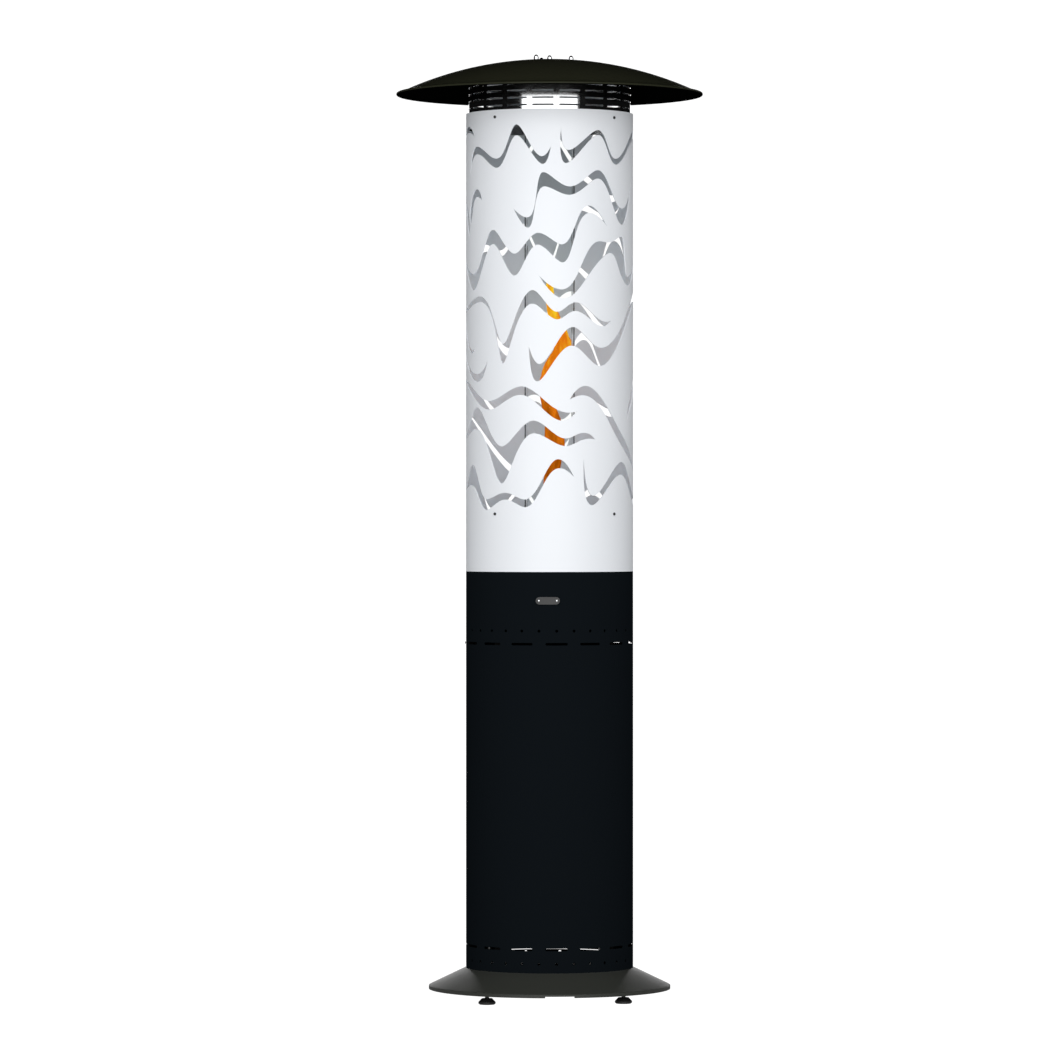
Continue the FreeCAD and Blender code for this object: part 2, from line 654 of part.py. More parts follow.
def wave_edges(turns):
    """The upper and the lower edge of a wave, each half its depth away from the middle line."""
    return [[(angle, level + side * depth / 2) for angle, level, depth in turns] for side in (1, -1)]


waves = [wave_edges(turns) for turns in front_waves + back_waves]


def wave_cutter(upper, lower, inner, outer):
    """A thick, curved plug bounded by both edges of one wave."""
    angles = [angle for angle, level in upper]
    middle = (min(angles) + max(angles)) / 2
    walls = []
    rims = []
    for radius in (inner, outer):
        surface = Part.Cylinder()
        surface.Radius = radius
        edges = []
        for side in (upper, lower):
            curve = Part.Geom2d.BSplineCurve2d()
            curve.interpolate([
                FreeCAD.Base.Vector2d(math.radians(angle - middle + 180) * radius, level)
                for angle, level in side
            ])
            for i, pole in enumerate(curve.getPoles()):
                curve.setPole(i + 1, FreeCAD.Base.Vector2d(pole.x / radius, pole.y))
            edges.append(curve.toShape(surface))
        rims.append(edges)
        walls.append(Part.Face(surface, Part.Wire(edges)))
    for inside, outside in zip(*rims):
        walls.append(Part.makeRuledSurface(inside, outside))
    skin = Part.makeShell(walls)
    skin.sewShape()
    plug = Part.makeSolid(skin)
    plug.rotate(Vector(), Vector(0, 0, 1), middle - 270)
    return plug


shell_radius = number(body_radius)
shell_wall = number(shell_gauge)
screw_levels = {"shell_screws_lower": 1159, "shell_screws_upper": 2098.6}


def screw_holes(name, level):
    """Clearance holes for the four screws at one level."""
    return group(name, [
        rod(f"{name}_{angle}", 2.05, 16, *polar(188, angle), level, facing(angle))
        for angle in corner_angles
    ])


shell_height = number(shell_top) - number(sleeve_top)
shell_base = Vector(0, 0, number(sleeve_top))
shell_shape = Part.makeCylinder(shell_radius, shell_height, shell_base)
shell_shape = shell_shape.cut(Part.makeCylinder(shell_radius - shell_wall, shell_height, shell_base))
shell_shape.rotate(Vector(), Vector(0, 0, 1), 15)
for upper_edge, lower_edge in waves:
    plug = wave_cutter(upper_edge, lower_edge, shell_radius - shell_wall - 1, shell_radius + 1)
    shell_shape = shell_shape.cut(plug)
for level in screw_levels.values():
    for angle in corner_angles:
        start = Vector(*polar(188, angle), level)
        shell_shape = shell_shape.cut(Part.makeCylinder(2.05, 16, start, start - Vector(0, 0, level)))
shell = doc.addObject("Part::Feature", "upper_shell")
shell.Shape = shell_shape.Solids[0]
node(shell)

shell_screw = [(0, -6), (2, -6), (2, 0), (4.4, 0), (4.0, 1.2), (2.5, 2.0), (0, 2.2)]
for screw_name, level in screw_levels.items():
    repeated(screw_name, shell_screw, [
        (*polar(body_radius, angle), level, facing(angle)) for angle in corner_angles
    ])
node(cut("burner_pan", turned("pan_blank", pan_profile), screw_holes("pan_holes", 1159)))
node(ring("shell_seat_ring", body_radius - 2.6, 194, deck_top, 1060))
spacer_blank = ring("spacer_blank", body_radius - 2.6, collar_radius, 2084, 2111)
node(cut("collar_spacer_ring", spacer_blank, screw_holes("spacer_holes", 2098.6)))

# Collar: a bright tube pierced by rows of long slots, up under the hood.
collar = ring("collar", collar_radius, collar_radius - 1.5, collar_bottom, collar_top)
rows = sketch_on(collar, "collar_rows", "XZ_Plane")
for i in range(5):
    slot_in(rows, 4 * i, 2125.6 + 16.8 * i, 51.5, 4)
pierce(collar, "collar_rows", rows, 19, 260)
place(collar, 0, 0, 0, Rotation(Vector(0, 0, 1), 360 / 38))
node(collar)

# Hood on a three-armed bridge, with a heat deflector under it.
apex = hood_rim + hood_rise + 1.6


def dome(radius, drop):
    """Height of the hood's outer face at this radius, less a drop."""
    sphere = number(hood_sphere)
    return number(apex) - (sphere - math.sqrt(sphere ** 2 - radius ** 2)) - drop


rim_height = dome(number(hood_radius), 0)
hood_blank = turned("hood_blank", [
    (0, apex), (hood_radius, rim_height), (hood_radius, hood_rim), (hood_radius - 3.2, hood_rim),
    (hood_radius - 3.2, dome(363.8, 1.5)), (0, apex - 1.5),
], bulges={
    0: ((180, dome(180, 0)), hood_sphere), 4: ((180, dome(180, 1.5)), hood_sphere),
})
nut_spots = [(0, 0)] + [polar(nut_circle, 77.2 + 120 * i) for i in range(3)]
hood_bores = [rod(f"hood_hole_{i}", 3.05, 40, x, y, hood_rim + 60) for i, (x, y) in enumerate(nut_spots)]
node(cut("hood", hood_blank, group("hood_holes", hood_bores)))
bridge_arms = []
for i in range(3):
    angle = 77.2 + 120 * i
    turn = Rotation(Vector(0, 0, 1), angle - 90)
    start = turn.multVec(Vector(0, -15, 0))
    bridge_arms.append(block(
        f"bridge_arm_{i}", collar_radius, 30, bridge_top - collar_top,
        start.x, start.y, collar_top, turn,
    ))
bridge_hub = rod("bridge_hub", 66, bridge_top - collar_top, 0, 0, collar_top)
stud_bores = [rod(f"bridge_hole_{i}", 3.05, 12, x, y, collar_top - 4) for i, (x, y) in enumerate(nut_spots)]
node(cut("hood_bridge", fuse("bridge_solid", bridge_hub, *bridge_arms), group("bridge_holes", stud_bores)))
deflector = turned("deflector_blank", [
    (0, collar_top - 8), (90, collar_top - 8), (160, collar_top - 24), (160.5, collar_top - 22.5),
    (90.2, collar_top - 6.5), (0, collar_top - 6.5),
])
deflector_bores = [
    rod(f"deflector_hole_{i}", 3.05, 12, x, y, collar_top - 14) for i, (x, y) in enumerate(nut_spots)
]
node(cut("heat_deflector", deflector, group("deflector_holes", deflector_bores)))

spacers = []
studs = []
acorns = []
for i, (x, y) in enumerate(nut_spots):
    under = dome(math.hypot(x, y) + 5, 1.6)
    over = dome(math.hypot(x, y), 0)
    tall = under - number(bridge_top)
    for level, length in ((number(bridge_top), tall), (number(collar_top) - 6.5, 6.5)):
        sleeve = rod(f"spacer_{i}_{length:.0f}", 5, length, x, y, level)
        hole = rod(f"spacer_bore_{i}_{length:.0f}", 3.05, length + 2, x, y, level - 1)
        spacers.append(cut(f"spacer_tube_{i}_{length:.0f}", sleeve, hole))
    foot_level = number(collar_top) - 18
    studs.append(rod(f"stud_{i}", 3, over + 8 - foot_level, x, y, foot_level))
    skirt = primitive("Prism", f"acorn_hex_{i}", x, y, over + 0.4, Polygon=6, Circumradius=5.7, Height=6)
    crown = primitive("Sphere", f"acorn_crown_{i}", x, y, over + 6.6, Radius=4.8)
    core = rod(f"acorn_core_{i}", 3.05, 8.6, x, y, over - 0.5)
    acorns.append(cut(f"acorn_{i}", fuse(f"acorn_solid_{i}", skirt, crown), core))
node(group("hood_spacers", spacers))
node(group("hood_studs", studs))
node(group("acorn_nuts", acorns))

# Blank name plate and its rivets, on the front of the housing.
plate_turn = facing(-6)
plate_across = Rotation(Vector(0, 0, 1), -6)


def on_plate(radius, along):
    """A spot at this radius in the middle of the name plate, moved along it to the side."""
    return Vector(*polar(radius, -6), 0) + plate_across.multVec(Vector(along, 0, 0))


corner = on_plate(body_radius.value + 2, -19.75)
badge_bar = block("badge_bar", 39.5, 5, 17.5, corner.x, corner.y, 945.25, plate_across)
badge_parts = []
for sign in (-1, 1):
    end = on_plate(body_radius.value - 3, 19.75 * sign)
    badge_parts.append(rod(f"badge_end_{sign + 1}", 8.75, 5, end.x, end.y, 954, plate_turn))
badge_trim = rod("badge_trim", body_radius, 40, 0, 0, 934)
node(cut("name_plate", fuse("badge_solid", badge_bar, *badge_parts), badge_trim))
rivet = [(0, 0), (2.6, 0), (2.2, 0.9), (1.2, 1.3), (0, 1.4)]
rivet_spots = [on_plate(body_radius.value + 2, 21.1 * sign) for sign in (-1, 1)]
repeated("name_plate_rivets", rivet, [(spot.x, spot.y, 954, plate_turn) for spot in rivet_spots])

doc.recompute()
for thing in doc.Objects:
    assert "Invalid" not in thing.State and "Error" not in thing.State, thing.Name
os.makedirs("parts", exist_ok=True)
for made in nodes:
    assert not made.Shape.isNull() and made.Shape.isValid(), made.Label
    made.Shape.exportStep(f"parts/{made.Label}.step")
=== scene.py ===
"""Looks of the patio heater: materials, light, the flame and the finer shapes on the CAD frame."""
import math
import bmesh
import bpy
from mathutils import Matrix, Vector


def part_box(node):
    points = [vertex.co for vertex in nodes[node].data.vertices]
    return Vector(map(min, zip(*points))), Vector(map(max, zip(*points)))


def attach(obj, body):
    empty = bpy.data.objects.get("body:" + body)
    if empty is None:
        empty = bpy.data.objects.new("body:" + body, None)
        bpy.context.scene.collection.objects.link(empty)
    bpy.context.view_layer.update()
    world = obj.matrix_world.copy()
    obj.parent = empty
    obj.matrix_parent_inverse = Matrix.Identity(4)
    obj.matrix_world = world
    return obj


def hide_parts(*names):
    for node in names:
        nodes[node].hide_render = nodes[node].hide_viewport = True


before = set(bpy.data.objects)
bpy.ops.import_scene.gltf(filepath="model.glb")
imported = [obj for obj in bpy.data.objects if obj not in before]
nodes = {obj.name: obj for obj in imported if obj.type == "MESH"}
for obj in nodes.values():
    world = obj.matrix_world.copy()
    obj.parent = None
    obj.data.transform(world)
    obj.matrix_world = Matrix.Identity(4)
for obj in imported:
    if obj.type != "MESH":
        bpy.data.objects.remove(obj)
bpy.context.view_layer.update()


# The housing is rolled sheet steel in black powder coat, open at the back for a hinged door.
# The sleeve, door, hinge leaves and control plate share one coat, sprayed before assembly.
def material(name, base, roughness, metallic=0.0, **extra):
    """A principled material; extra sets more of its sockets by name."""
    made = bpy.data.materials.new(name)
    made.use_nodes = True
    shader = made.node_tree.nodes["Principled BSDF"]
    shader.inputs["Base Color"].default_value = (*base, 1)
    shader.inputs["Roughness"].default_value = roughness
    shader.inputs["Metallic"].default_value = metallic
    for socket, value in extra.items():
        shader.inputs[socket.replace("_", " ")].default_value = value
    return made


def add_noise(made, scale, detail=2.0, stretch=(1, 1, 1)):
    """A noise texture in the piece's own coordinates; returns its factor socket."""
    tree = made.node_tree
    coords = tree.nodes.new("ShaderNodeTexCoord")
    mapping = tree.nodes.new("ShaderNodeMapping")
    mapping.inputs["Scale"].default_value = stretch
    noise = tree.nodes.new("ShaderNodeTexNoise")
    noise.inputs["Scale"].default_value = scale
    noise.inputs["Detail"].default_value = detail
    tree.links.new(coords.outputs["Object"], mapping.inputs["Vector"])
    tree.links.new(mapping.outputs["Vector"], noise.inputs["Vector"])
    return noise.outputs["Fac"]


def bumpy(made, factor, strength, distance):
    """Drives the shader's normal from a noise factor."""
    tree = made.node_tree
    bump = tree.nodes.new("ShaderNodeBump")
    bump.inputs["Strength"].default_value = strength
    bump.inputs["Distance"].default_value = distance
    tree.links.new(factor, bump.inputs["Height"])
    tree.links.new(bump.outputs["Normal"], tree.nodes["Principled BSDF"].inputs["Normal"])
    return made


def vary(made, socket, factor, low, high):
    """Maps a noise factor onto a range of one number socket."""
    tree = made.node_tree
    ranged = tree.nodes.new("ShaderNodeMapRange")
    ranged.inputs["To Min"].default_value = low
    ranged.inputs["To Max"].default_value = high
    tree.links.new(factor, ranged.inputs["Value"])
    tree.links.new(ranged.outputs["Result"], tree.nodes["Principled BSDF"].inputs[socket])
    return made


def powder_coat(name, base, roughness, gloss=0.5):
    """Powder coat: a fine orange peel and a slightly uneven sheen."""
    made = material(name, base, roughness, Specular_IOR_Level=gloss)
    bumpy(made, add_noise(made, 420, 1.0), 0.10, 0.0006)
    return vary(made, "Roughness", add_noise(made, 9, 3.0), roughness - 0.05, roughness + 0.06)


def smooth(piece, angle=32):
    """Smooth shading that keeps edges sharper than the angle."""
    piece.data.polygons.foreach_set("use_smooth", [True] * len(piece.data.polygons))
    piece.data.set_sharp_from_angle(angle=math.radians(angle))
    return piece


def paint(finish, *names):
    """Gives CAD nodes their finish; their meshes stay as they are."""
    for name in names:
        piece = nodes[name]
        if not piece.data.materials:
            piece.data.materials.append(finish)
        for i in range(len(piece.data.materials)):
            piece.data.materials[i] = finish
        smooth(piece)


black_coat = powder_coat("black_coat", (0.0050, 0.0068, 0.0086), 0.42, 0.0)
paint(black_coat, "lower_sleeve", "rear_door", "hinge_frame_leaves", "hinge_door_leaves", "control_plate")

# The skirt is a spun steel ring that flares out to carry the housing on its feet.
# Its coat is a little glossier than the sleeve's, as it is sprayed apart from it.
skirt_coat = powder_coat("skirt_coat", (0.030, 0.032, 0.027), 0.42, 0.5)
paint(skirt_coat, "base_skirt")

# Four levelling feet: black moulded pads on threaded studs.
# Each screws up into a nut that is welded on the base plate.
foot_black = material("foot_black", (0.02, 0.02, 0.02), 0.45)
bumpy(foot_black, add_noise(foot_black, 300), 0.12, 0.0005)
paint(foot_black, "foot_front_left", "foot_front_right", "foot_rear_left", "foot_rear_right")

# Base, shelf, deck and corner posts are pressed steel with a thin black coat.
# The parts next to the heat, from the pan up to the hood bridge, are bare zinc-plated steel.
inner_black = powder_coat("inner_black", (0.004, 0.004, 0.004), 0.5, 0.05)
paint(
    inner_black, "base_plate", "shelf_ring", "bottle_shelf", "post_front_left", "post_front_right",
    "post_rear_left", "post_rear_right", "burner_deck", "foot_weld_nuts", "door_magnets",
)
zinc = material("zinc", (0.42, 0.43, 0.44), 0.38, 1.0)
vary(zinc, "Roughness", add_noise(zinc, 30, 4.0), 0.30, 0.48)
paint(
    zinc, "burner_drum", "burner_pan",
    "shell_seat_ring", "collar_spacer_ring", "hood_bridge", "heat_deflector", "hood_spacers",
    "hood_studs", "pilot_bracket", "head_brackets", "glass_top_ring", "glass_base_cup",
)

# The upper shell is a laser-cut steel tube with a white satin powder coat.
# It stands on the burner pan and is screwed to it and to the ring under the collar.
white_coat = powder_coat("white_coat", (0.84, 0.865, 0.90), 0.45)
paint(white_coat, "upper_shell")

# The collar is a polished stainless tube with rows of pressed slots.
# The domed hood nuts, rivets, hinge pins and door pull have the same bright finish.
polished = material("polished", (0.80, 0.81, 0.82), 0.10, 1.0)
vary(polished, "Roughness", add_noise(polished, 60, 3.0, (1, 1, 0.05)), 0.07, 0.14)
paint(polished, "collar", "acorn_nuts", "name_plate_rivets", "hinge_pins", "door_pull")
plate_grey = powder_coat("plate_grey", (0.030, 0.030, 0.030), 0.45)
paint(plate_grey, "name_plate")


# The shell screws have small round heads with a cross recess and stand a little proud of the tube.
# One Geometry Nodes tree sets a ring of four, facing outwards, at each level of the shell.
dark_screw = material("dark_screw", (0.09, 0.09, 0.09), 0.40, 0.8)
vary(dark_screw, "Roughness", add_noise(dark_screw, 200), 0.32, 0.5)


def new_piece(name, mesh, finish, body):
    """A finished Blender piece at the origin, riding on a body."""
    piece = bpy.data.objects.new(name, mesh)
    bpy.context.scene.collection.objects.link(piece)
    if not mesh.materials:
        mesh.materials.append(finish)
    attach(piece, body)
    return smooth(piece)


def screw_ring_tree(finish):
    """A node tree: a ring of cross-recessed heads that face away from the upright axis."""
    tree = bpy.data.node_groups.new("screw_ring", "GeometryNodeTree")
    for name, kind, value in (
        ("Count", "NodeSocketInt", 4), ("Ring Radius", "NodeSocketFloat", 0.2),
        ("Level", "NodeSocketFloat", 1.0), ("Head Radius", "NodeSocketFloat", 0.0034),
        ("Head Height", "NodeSocketFloat", 0.0018), ("First Angle", "NodeSocketFloat", 0.0),
    ):
        tree.interface.new_socket(name, in_out="INPUT", socket_type=kind).default_value = value
    tree.interface.new_socket("Geometry", in_out="OUTPUT", socket_type="NodeSocketGeometry")
    add, join = tree.nodes.new, tree.links.new
    entry, leave = add("NodeGroupInput"), add("NodeGroupOutput")
    circle = add("GeometryNodeMeshCircle")
    join(entry.outputs["Count"], circle.inputs["Vertices"])
    join(entry.outputs["Ring Radius"], circle.inputs["Radius"])
    lift, turn = add("ShaderNodeCombineXYZ"), add("ShaderNodeCombineXYZ")
    join(entry.outputs["Level"], lift.inputs["Z"])
    join(entry.outputs["First Angle"], turn.inputs["Z"])
    placed = add("GeometryNodeTransform")
    join(circle.outputs["Mesh"], placed.inputs["Geometry"])
    join(lift.outputs["Vector"], placed.inputs["Translation"])
    join(turn.outputs["Vector"], placed.inputs["Rotation"])
    head = add("GeometryNodeMeshCylinder")
    head.inputs["Vertices"].default_value = 28
    join(entry.outputs["Head Radius"], head.inputs["Radius"])
    join(entry.outputs["Head Height"], head.inputs["Depth"])
    recess = add("GeometryNodeMeshBoolean")
    recess.operation = "DIFFERENCE"
    join(head.outputs["Mesh"], recess.inputs["Mesh 1"])
    for size in ((0.0042, 0.0008, 0.0016), (0.0008, 0.0042, 0.0016)):
        bar, raised = add("GeometryNodeMeshCube"), add("GeometryNodeTransform")
        bar.inputs["Size"].default_value = size
        raised.inputs["Translation"].default_value = (0, 0, 0.0010)
        join(bar.outputs["Mesh"], raised.inputs["Geometry"])
        join(raised.outputs["Geometry"], recess.inputs["Mesh 2"])
    place, split = add("GeometryNodeInputPosition"), add("ShaderNodeSeparateXYZ")
    outward = add("ShaderNodeCombineXYZ")
    join(place.outputs["Position"], split.inputs["Vector"])
    join(split.outputs["X"], outward.inputs["X"])
    join(split.outputs["Y"], outward.inputs["Y"])
    aim = add("FunctionNodeAlignRotationToVector")
    aim.axis = "Z"
    join(outward.outputs["Vector"], aim.inputs["Vector"])
    copies = add("GeometryNodeInstanceOnPoints")
    join(placed.outputs["Geometry"], copies.inputs["Points"])
    join(recess.outputs["Mesh"], copies.inputs["Instance"])
    join(aim.outputs["Rotation"], copies.inputs["Rotation"])
    real, coat = add("GeometryNodeRealizeInstances"), add("GeometryNodeSetMaterial")
    coat.inputs["Material"].default_value = finish
    join(copies.outputs["Instances"], real.inputs["Geometry"])
    join(real.outputs["Geometry"], coat.inputs["Geometry"])
    join(coat.outputs["Geometry"], leave.inputs["Geometry"])
    return tree


screw_ring = screw_ring_tree(dark_screw)
screw_circle = 0.2008
first_screw = math.radians(45)
for level_node in ("shell_screws_lower", "shell_screws_upper"):
    low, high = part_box(level_node)
    carrier = bpy.data.objects.new(f"{level_node}_carrier", bpy.data.meshes.new("empty_mesh"))
    bpy.context.scene.collection.objects.link(carrier)
    rig = carrier.modifiers.new("screws", "NODES")
    rig.node_group = screw_ring
    sizes = {"Ring Radius": screw_circle, "Level": (low[2] + high[2]) / 2, "First Angle": first_screw}
    for item in screw_ring.interface.items_tree:
        if item.in_out == "INPUT" and item.name in sizes:
            rig[item.identifier] = sizes[item.name]
    seen_by = bpy.context.evaluated_depsgraph_get()
    screw_mesh = bpy.data.meshes.new_from_object(carrier.evaluated_get(seen_by))
    bpy.data.objects.remove(carrier)
    heads = new_piece(f"{level_node}_heads", screw_mesh, dark_screw, "frame")
    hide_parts(level_node)

# The sleeve screws are of the same dark steel and keep the heads that they have in the frame.
paint(dark_screw, "sleeve_screws")

# Valve, pipe, stem and nipple are turned brass, screwed together above the bottle bay.
# The burner and its venturi are stainless steel, tinted by the heat.
brass = material("brass", (0.60, 0.43, 0.17), 0.28, 1.0)
vary(brass, "Roughness", add_noise(brass, 80), 0.2, 0.36)
paint(brass, "gas_valve", "gas_inlet_nipple", "injector", "valve_stem", "gas_pipe")
burner_steel = material("burner_steel", (0.30, 0.25, 0.22), 0.42, 1.0)
vary(burner_steel, "Roughness", add_noise(burner_steel, 40, 5.0), 0.32, 0.55)
paint(burner_steel, "burner_head", "venturi_tube", "thermocouple")
ceramic = material("ceramic", (0.80, 0.78, 0.72), 0.25)
paint(ceramic, "ignition_electrode")
gasket = material("gasket", (0.50, 0.47, 0.40), 0.9)
bumpy(gasket, add_noise(gasket, 500, 3.0), 0.5, 0.001)
paint(gasket, "glass_base_gasket")
black_plastic = material("black_plastic", (0.030, 0.030, 0.031), 0.42)
bumpy(black_plastic, add_noise(black_plastic, 350), 0.15, 0.0004)
paint(black_plastic, "control_knob", "igniter_body", "igniter_button", "tilt_switch")

# The flame tube is clear borosilicate glass that stands in the base cup and under the top ring.
# Straight-through light keeps it quick to render.
glass = bpy.data.materials.new("glass")
glass.use_nodes = True
glass_tree = glass.node_tree
glass_out = glass_tree.nodes["Material Output"]
glass_tree.nodes.remove(glass_tree.nodes["Principled BSDF"])
clear = glass_tree.nodes.new("ShaderNodeBsdfTransparent")
clear.inputs["Color"].default_value = (0.985, 0.992, 0.99, 1)
gloss = glass_tree.nodes.new("ShaderNodeBsdfGlossy")
gloss.inputs["Roughness"].default_value = 0.03
rim_weight = glass_tree.nodes.new("ShaderNodeFresnel")
rim_weight.inputs["IOR"].default_value = 1.05
mixed = glass_tree.nodes.new("ShaderNodeMixShader")
glass_tree.links.new(rim_weight.outputs["Fac"], mixed.inputs["Fac"])
glass_tree.links.new(clear.outputs["BSDF"], mixed.inputs[1])
glass_tree.links.new(gloss.outputs["BSDF"], mixed.inputs[2])
glass_tree.links.new(mixed.outputs["Shader"], glass_out.inputs["Surface"])
paint(glass, "glass_tube")

# The hood is one spun steel dome with a rolled bead round its rim, black outside; its inside is painted
# shade, a matt coat far darker than the outside.
# It sits on spacers over the bridge and is held by four studs and domed nuts.
hood_coat = powder_coat("hood_coat", (0.020, 0.021, 0.0115), 0.36, 0.14)
# Painted shade: the inside faces get a near-black matt copy of the hood coat, about twenty times darker,
# for the shade under the dome.
hood_underside_shade = powder_coat("hood_underside_shade", (0.0010, 0.0010, 0.0009), 0.9, 0.0)


def spun_mesh(name, profile, around=160, closed=True):
    """A mesh spun about the upright axis from (radius, height) points in metres."""
    work = bmesh.new()
    rings = []
    for step in range(around):
        turn = 2 * math.pi * step / around
        rings.append([
            work.verts.new((r * math.cos(turn), r * math.sin(turn), z)) for r, z in profile
        ])
    count = len(profile)
    for step in range(around):
        here, there = rings[step], rings[(step + 1) % around]
        for i in range(count if closed else count - 1):
            j = (i + 1) % count
            if profile[i][0] > 1e-6 or profile[j][0] > 1e-6:
                work.faces.new((here[i], there[i], there[j], here[j]))
    bmesh.ops.remove_doubles(work, verts=work.verts, dist=1e-6)
    bmesh.ops.recalc_face_normals(work, faces=work.faces)
    mesh = bpy.data.meshes.new(name)
    work.to_mesh(mesh)
    work.free()
    return mesh


hood_low, hood_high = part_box("hood")
hood_radius = hood_high[0]
dome_sphere = 0.842
hood_sheet = 0.0015
bead = 0.0034


def dome_height(radius, drop=0.0):
    return hood_high[2] - (dome_sphere - math.sqrt(dome_sphere ** 2 - radius ** 2)) - drop


bead_z = hood_low[2] + bead
outer_line = [(hood_radius * i / 40, dome_height(hood_radius * i / 40)) for i in range(39)]
inner_line = [(r, z - hood_sheet) for r, z in reversed(outer_line)]
bead_line = []
for i in range(14):
    turn = math.radians(100 - i * 24)
    bead_line.append((
        hood_radius - bead + bead * math.cos(turn), bead_z + bead * math.sin(turn),
    ))
hood_mesh = spun_mesh("hood_dome", outer_line + bead_line + inner_line, 220)
hood = new_piece("hood_dome", hood_mesh, hood_coat, "frame")
hood.data.materials.append(hood_underside_shade)
hood_middle = Vector((0, 0, hood_high[2] - dome_sphere))
# Faces that turn towards the dome's middle, the underside, take the painted-shade material.
for face in hood.data.polygons:
    face.material_index = 1 if face.normal.dot(face.center - hood_middle) < 0 else 0
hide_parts("hood")

# The flame twists up the tube from the burner as tapering strands of glowing gas.
# It is no solid piece, so it has no node of its own and rides on the frame.
flame_mat = bpy.data.materials.new("flame")
flame_mat.use_nodes = True
flame_tree = flame_mat.node_tree
flame_tree.nodes.remove(flame_tree.nodes["Principled BSDF"])
flame_coords = flame_tree.nodes.new("ShaderNodeAttribute")
flame_coords.attribute_name = "climb"
flame_ramp = flame_tree.nodes.new("ShaderNodeValToRGB")
flame_ramp.color_ramp.elements[0].color = (0.24, 0.045, 0.0, 1)
flame_ramp.color_ramp.elements[1].position = 0.85
flame_ramp.color_ramp.elements[1].color = (0.95, 0.58, 0.02, 1)
middle = flame_ramp.color_ramp.elements.new(0.55)
middle.color = (0.78, 0.19, 0.006, 1)
flame_light = flame_tree.nodes.new("ShaderNodeEmission")
flame_light.inputs["Strength"].default_value = 1.0
flame_facing = flame_tree.nodes.new("ShaderNodeLayerWeight")
flame_facing.inputs["Blend"].default_value = 0.35
flame_clear = flame_tree.nodes.new("ShaderNodeBsdfTransparent")
flame_mix = flame_tree.nodes.new("ShaderNodeMixShader")
flame_soft = flame_tree.nodes.new("ShaderNodeMath")
flame_soft.operation = "POWER"
flame_soft.inputs[1].default_value = 2.5
link = flame_tree.links.new
flame_streaks = add_noise(flame_mat, 55, 3.0, (1, 1, 0.22))
flame_sum = flame_tree.nodes.new("ShaderNodeMath")
flame_sum.operation = "MULTIPLY_ADD"
flame_sum.inputs[1].default_value = 1.3
flame_less = flame_tree.nodes.new("ShaderNodeMath")
flame_less.operation = "SUBTRACT"
flame_less.inputs[1].default_value = 0.80
link(flame_coords.outputs["Fac"], flame_less.inputs[0])
link(flame_streaks, flame_sum.inputs[0])
link(flame_less.outputs["Value"], flame_sum.inputs[2])
link(flame_sum.outputs["Value"], flame_ramp.inputs["Fac"])
link(flame_ramp.outputs["Color"], flame_light.inputs["Color"])
link(flame_facing.outputs["Facing"], flame_soft.inputs[0])
link(flame_soft.outputs["Value"], flame_mix.inputs["Fac"])
link(flame_light.outputs["Emission"], flame_mix.inputs[1])
link(flame_clear.outputs["BSDF"], flame_mix.inputs[2])
link(flame_mix.outputs["Shader"], flame_tree.nodes["Material Output"].inputs["Surface"])

flame_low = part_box("burner_head")[1][2] + 0.002
flame_high = 1.73
belly_height, belly_reach, belly_swell = 1.56, 0.05, 0.5


def sway_at(z):
    """Sideways drift of the flame's middle at this height: it leans out twice on its way up."""
    low_lean = 0.014 * math.exp(-((z - 1.32) / 0.055) ** 2)
    high_lean = 0.031 * math.exp(-((z - 1.565) / 0.06) ** 2)
    return low_lean + high_lean


def strand(work, layer, phase, turns, wide, spread):
    """One tapering tube that winds round the flame's middle line."""
    steps, around = 150, 14
    previous = None
    for step in range(steps + 1):
        part = step / steps
        z = flame_low + (flame_high - flame_low) * part
        turn = phase + 2 * math.pi * turns * part
        reach = spread * math.sin(math.pi * min(1, part * 1.15)) ** 0.6
        centre = Vector((sway_at(z) + reach * math.cos(turn), 0.6 * reach * math.sin(turn), z))
        size = wide * (0.35 + 0.65 * math.sin(math.pi * min(1.0, 0.12 + part * 0.88)) ** 0.7)
        size *= 1 + 0.22 * math.sin(9 * part * math.pi + phase)
        size *= 1 + belly_swell * math.exp(-((z - belly_height) / belly_reach) ** 2)
        ring = []
        for i in range(around):
            angle = 2 * math.pi * i / around
            vert = work.verts.new(centre + Vector((
                size * math.cos(angle), size * 0.7 * math.sin(angle), 0,
            )))
            vert[layer] = part
            ring.append(vert)
        if previous:
            for i in range(around):
                j = (i + 1) % around
                work.faces.new((previous[i], previous[j], ring[j], ring[i]))
        else:
            work.faces.new(list(reversed(ring)))
        previous = ring
    work.faces.new(previous)


flame_work = bmesh.new()
climb = flame_work.verts.layers.float.new("climb")
for phase, turns, wide, spread in (
    (0.4, 1.6, 0.0150, 0.012), (2.5, 1.9, 0.0135, 0.014), (4.6, 1.4, 0.0130, 0.013),
):
    strand(flame_work, climb, phase, turns, wide, spread)
flame_mesh = bpy.data.meshes.new("flame_mesh")
flame_work.to_mesh(flame_mesh)
flame_work.free()
new_piece("flame", flame_mesh, flame_mat, "frame")


# Plain studio: a glowing backdrop and floor, a tall soft box in front, fill from the sides.
# Reflections see a dark room, so that polished steel keeps its contrast.
def stage_plane(name, size, place, turn, finish):
    mesh = bpy.data.meshes.new(name)
    half_x, half_y = size[0] / 2, size[1] / 2
    mesh.from_pydata(
        [(-half_x, -half_y, 0), (half_x, -half_y, 0), (half_x, half_y, 0), (-half_x, half_y, 0)],
        [], [(0, 1, 2, 3)],
    )
    piece = bpy.data.objects.new(name, mesh)
    bpy.context.scene.collection.objects.link(piece)
    piece.location = place
    piece.rotation_euler = turn
    mesh.materials.append(finish)
    return piece


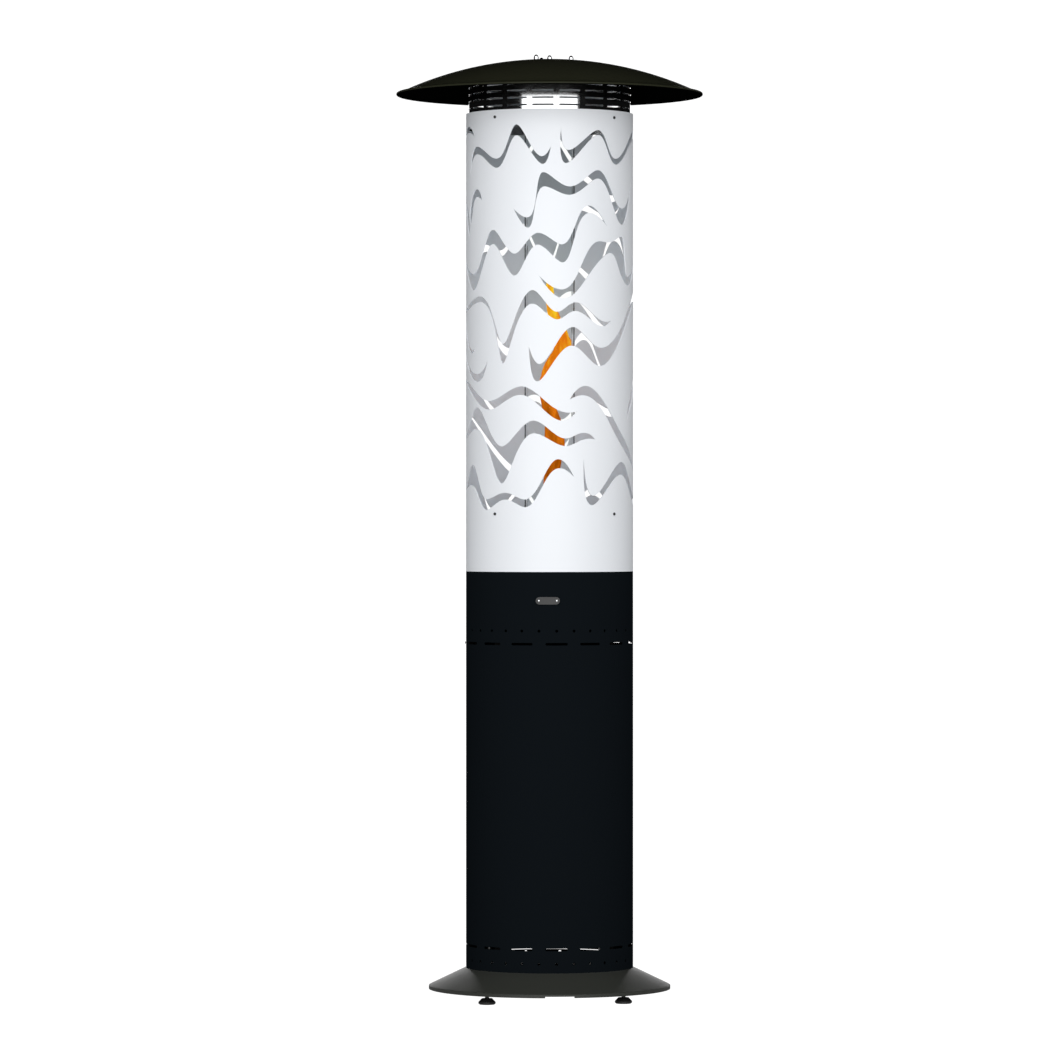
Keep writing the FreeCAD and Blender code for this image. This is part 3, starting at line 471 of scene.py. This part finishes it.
floor_width = 60
floor_drop = 0.0005
floor_finish = bpy.data.materials.new("floor_finish")
floor_finish.use_nodes = True
floor_tree = floor_finish.node_tree
floor_tree.nodes.remove(floor_tree.nodes["Principled BSDF"])
floor_light = floor_tree.nodes.new("ShaderNodeEmission")
floor_path = floor_tree.nodes.new("ShaderNodeLightPath")
floor_level = floor_tree.nodes.new("ShaderNodeMapRange")
floor_level.inputs["To Min"].default_value = 0.30
floor_level.inputs["To Max"].default_value = 1.1
floor_tree.links.new(floor_path.outputs["Is Camera Ray"], floor_level.inputs["Value"])
floor_tree.links.new(floor_level.outputs["Result"], floor_light.inputs["Strength"])
floor_tree.links.new(floor_light.outputs["Emission"], floor_tree.nodes["Material Output"].inputs["Surface"])
stage_plane("floor", (floor_width, floor_width), (0, 0, -floor_drop), (0, 0, 0), floor_finish)

world = bpy.data.worlds.new("studio")
bpy.context.scene.world = world
world.use_nodes = True
world_tree = world.node_tree
sky = world_tree.nodes["Background"]
sky.inputs["Color"].default_value = (0.985, 0.992, 1.0, 1)
seen = world_tree.nodes.new("ShaderNodeBackground")
seen.inputs["Color"].default_value = (1, 1, 1, 1)
seen.inputs["Strength"].default_value = 1.1
path = world_tree.nodes.new("ShaderNodeLightPath")
choice = world_tree.nodes.new("ShaderNodeMixShader")
sky_level = world_tree.nodes.new("ShaderNodeMapRange")
sky_level.inputs["To Min"].default_value = 0.52
sky_level.inputs["To Max"].default_value = 0.004
world_tree.links.new(path.outputs["Is Glossy Ray"], sky_level.inputs["Value"])
world_tree.links.new(sky_level.outputs["Result"], sky.inputs["Strength"])
world_tree.links.new(path.outputs["Is Camera Ray"], choice.inputs["Fac"])
world_tree.links.new(sky.outputs["Background"], choice.inputs[1])
world_tree.links.new(seen.outputs["Background"], choice.inputs[2])
world_tree.links.new(choice.outputs["Shader"], world_tree.nodes["World Output"].inputs["Surface"])


def soft_box(name, place, target, size, power, colour=(1, 1, 1)):
    lamp = bpy.data.lights.new(name, "AREA")
    lamp.shape = "RECTANGLE"
    lamp.size, lamp.size_y = size
    lamp.energy = power
    lamp.color = colour
    piece = bpy.data.objects.new(name, lamp)
    bpy.context.scene.collection.objects.link(piece)
    piece.location = place
    aim = Vector(target) - Vector(place)
    piece.rotation_euler = aim.to_track_quat("-Z", "Y").to_euler()
    return piece


soft_box("front_box", (-0.35, -4.2, 1.9), (0, 0, 1.15), (6.6, 4.6), 188)
for side in (-1, 1):
    side_fill = soft_box(f"side_fill_{side}", (3.6 * side, -1.2, 1.6), (0, 0, 1.2), (1.6, 3.2), 5)
    side_fill.visible_glossy = False
rear_box = soft_box("rear_box", (0.3, 4.4, 1.5), (0, 0, 1.1), (2.4, 3.0), 40)
rear_box.visible_camera = False

# Daylight that gets inside the shell from every side, stronger low down than under the hood.
for height, power in ((1.22, 0.18), (1.42, 0.18), (1.62, 0.13), (1.82, 0.05)):
    lamp = bpy.data.lights.new(f"inner_light_{height}", "POINT")
    lamp.energy = power
    lamp.color = (0.80, 0.93, 1.0)
    lamp.shadow_soft_size = 0.05
    lamp.use_shadow = False
    inner = bpy.data.objects.new(lamp.name, lamp)
    bpy.context.scene.collection.objects.link(inner)
    inner.location = (0, 0, height)
    inner.visible_camera = False
    inner.visible_glossy = False

# The camera stands well back and level, a little to the left of the heater's own front.
camera_data = bpy.data.cameras.new("camera")
camera_data.lens = 190.6
camera_data.sensor_width = 36
camera_data.shift_x = -0.0234
camera_data.shift_y = -0.0029
camera_data.clip_end = 100
camera = bpy.data.objects.new("camera", camera_data)
bpy.context.scene.collection.objects.link(camera)
camera_distance = 13.31
camera_height = 1.14
camera_side = math.radians(4.8)
camera.location = (
    -camera_distance * math.sin(camera_side), -camera_distance * math.cos(camera_side), camera_height,
)
camera.rotation_euler = (math.radians(90), 0, -camera_side)
bpy.context.scene.camera = camera
bpy.context.scene.view_settings.view_transform = "Standard"
